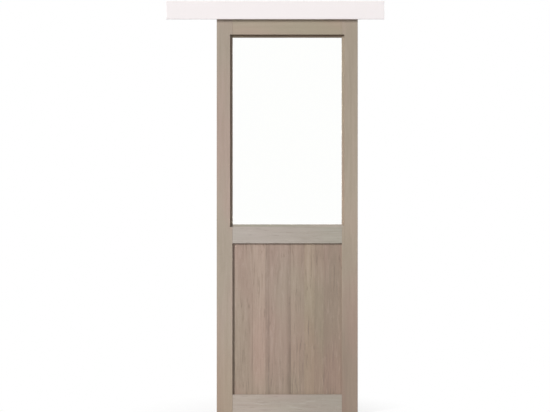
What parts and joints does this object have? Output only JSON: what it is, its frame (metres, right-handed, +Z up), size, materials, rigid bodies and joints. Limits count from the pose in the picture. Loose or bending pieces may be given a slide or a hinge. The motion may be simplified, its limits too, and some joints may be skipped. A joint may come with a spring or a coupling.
{
  "type": "glazed sliding door",
  "caption": "Half-glazed timber sliding door hung on rollers from a wall-fixed track behind a plain pelmet, with a recessed lower panel and a floor guide.",
  "frame": {"origin": "on the floor, at the middle of the floor guide's screw pattern, under the middle of the track and in the leaf's mid-plane", "axes": "+X right along the track seen from the room, +Y towards the wall, +Z up"},
  "size_m": [1.125, 0.07, 2.1369],
  "materials": {
    "oak_stile": "satin lacquered oak veneer, grain upright",
    "oak_rail": "satin lacquered oak veneer, grain along the rail",
    "oak_panel": "satin lacquered oak veneer, figured, grain upright",
    "oak_bead": "satin lacquered solid oak",
    "beech_dowel": "plain fluted beech",
    "clear_glass": "clear float glass",
    "glazing_tape": "matt",
    "setting_block": "matt",
    "steel_pin": "drawn wire",
    "zinc_fastener": "bright zinc plated",
    "zinc_bracket": "zinc plated sheet",
    "bright_axle": "ground",
    "cast_trolley": "as cast, tumbled",
    "anodised_track": "satin anodised extrusion",
    "white_lacquer": "satin lacquered board",
    "black_screw": "black oxide",
    "buffer_rubber": "matt",
    "wheel_nylon": "turned nylon",
    "guide_nylon": "moulded nylon"
  },
  "bodies": {
    "root": {"track": "anodised_track", "bracket_bolts": "zinc_fastener", "track_nuts": "zinc_fastener", "pelmet_front": "white_lacquer", "pelmet_top": "white_lacquer", "pelmet_end_left": "white_lacquer", "pelmet_end_right": "white_lacquer", "pelmet_screws": "zinc_fastener", "stop_left": "cast_trolley", "stop_right": "cast_trolley", "stop_buffer_left": "buffer_rubber", "stop_buffer_right": "buffer_rubber", "stop_screws": "black_screw", "floor_guide": "guide_nylon", "wall_bracket_1": "zinc_bracket", "wall_bracket_2": "zinc_bracket", "wall_bracket_3": "zinc_bracket", "wall_bracket_4": "zinc_bracket"},
    "leaf": {"left_stile": "oak_stile", "right_stile": "oak_stile", "top_rail": "oak_rail", "mid_rail": "oak_rail", "bottom_rail": "oak_rail", "frame_dowels": "beech_dowel", "lower_panel": "oak_panel", "glass_pane": "clear_glass", "glazing_seal_front": "glazing_tape", "glazing_seal_back": "glazing_tape", "setting_blocks": "setting_block", "bead_top": "oak_bead", "bead_bottom": "oak_bead", "bead_left": "oak_bead", "bead_right": "oak_bead", "bead_pins": "steel_pin", "hanger_plate_screws": "zinc_fastener", "hanger_plate_left": "zinc_bracket", "hanger_bolt_left": "zinc_fastener", "lock_nut_left": "zinc_fastener", "trolley_body_left": "cast_trolley", "trolley_axles_left": "bright_axle", "hanger_plate_right": "zinc_bracket", "hanger_bolt_right": "zinc_fastener", "lock_nut_right": "zinc_fastener", "trolley_body_right": "cast_trolley", "trolley_axles_right": "bright_axle"},
    "wheel_left_outer_front": {"wheel_left_outer_front": "wheel_nylon"},
    "wheel_left_outer_back": {"wheel_left_outer_back": "wheel_nylon"},
    "wheel_left_inner_front": {"wheel_left_inner_front": "wheel_nylon"},
    "wheel_left_inner_back": {"wheel_left_inner_back": "wheel_nylon"},
    "wheel_right_outer_front": {"wheel_right_outer_front": "wheel_nylon"},
    "wheel_right_outer_back": {"wheel_right_outer_back": "wheel_nylon"},
    "wheel_right_inner_front": {"wheel_right_inner_front": "wheel_nylon"},
    "wheel_right_inner_back": {"wheel_right_inner_back": "wheel_nylon"}
  },
  "joints": [
    {"name": "leaf_slide", "type": "slide", "parent": "root", "child": "leaf", "axis": [1, 0, 0], "range_m": [-0.2595, 0.1355]},
    {"name": "wheel_left_outer_front_spin", "type": "hinge", "parent": "leaf", "child": "wheel_left_outer_front", "pos_m": [-0.191, -0.0088, 2.0783], "axis": [0, 1, 0], "continuous": true},
    {"name": "wheel_left_outer_back_spin", "type": "hinge", "parent": "leaf", "child": "wheel_left_outer_back", "pos_m": [-0.191, 0.0088, 2.0783], "axis": [0, 1, 0], "continuous": true},
    {"name": "wheel_left_inner_front_spin", "type": "hinge", "parent": "leaf", "child": "wheel_left_inner_front", "pos_m": [-0.155, -0.0088, 2.0783], "axis": [0, 1, 0], "continuous": true},
    {"name": "wheel_left_inner_back_spin", "type": "hinge", "parent": "leaf", "child": "wheel_left_inner_back", "pos_m": [-0.155, 0.0088, 2.0783], "axis": [0, 1, 0], "continuous": true},
    {"name": "wheel_right_outer_front_spin", "type": "hinge", "parent": "leaf", "child": "wheel_right_outer_front", "pos_m": [0.315, -0.0088, 2.0783], "axis": [0, 1, 0], "continuous": true},
    {"name": "wheel_right_outer_back_spin", "type": "hinge", "parent": "leaf", "child": "wheel_right_outer_back", "pos_m": [0.315, 0.0088, 2.0783], "axis": [0, 1, 0], "continuous": true},
    {"name": "wheel_right_inner_front_spin", "type": "hinge", "parent": "leaf", "child": "wheel_right_inner_front", "pos_m": [0.279, -0.0088, 2.0783], "axis": [0, 1, 0], "continuous": true},
    {"name": "wheel_right_inner_back_spin", "type": "hinge", "parent": "leaf", "child": "wheel_right_inner_back", "pos_m": [0.279, 0.0088, 2.0783], "axis": [0, 1, 0], "continuous": true}
  ],
  "couplings": [
    {"joint": "wheel_left_outer_front_spin", "follows": "leaf_slide", "rad_per_m": 111.11},
    {"joint": "wheel_left_outer_back_spin", "follows": "leaf_slide", "rad_per_m": 111.11},
    {"joint": "wheel_left_inner_front_spin", "follows": "leaf_slide", "rad_per_m": 111.11},
    {"joint": "wheel_left_inner_back_spin", "follows": "leaf_slide", "rad_per_m": 111.11},
    {"joint": "wheel_right_outer_front_spin", "follows": "leaf_slide", "rad_per_m": 111.11},
    {"joint": "wheel_right_outer_back_spin", "follows": "leaf_slide", "rad_per_m": 111.11},
    {"joint": "wheel_right_inner_front_spin", "follows": "leaf_slide", "rad_per_m": 111.11},
    {"joint": "wheel_right_inner_back_spin", "follows": "leaf_slide", "rad_per_m": 111.11}
  ]
}
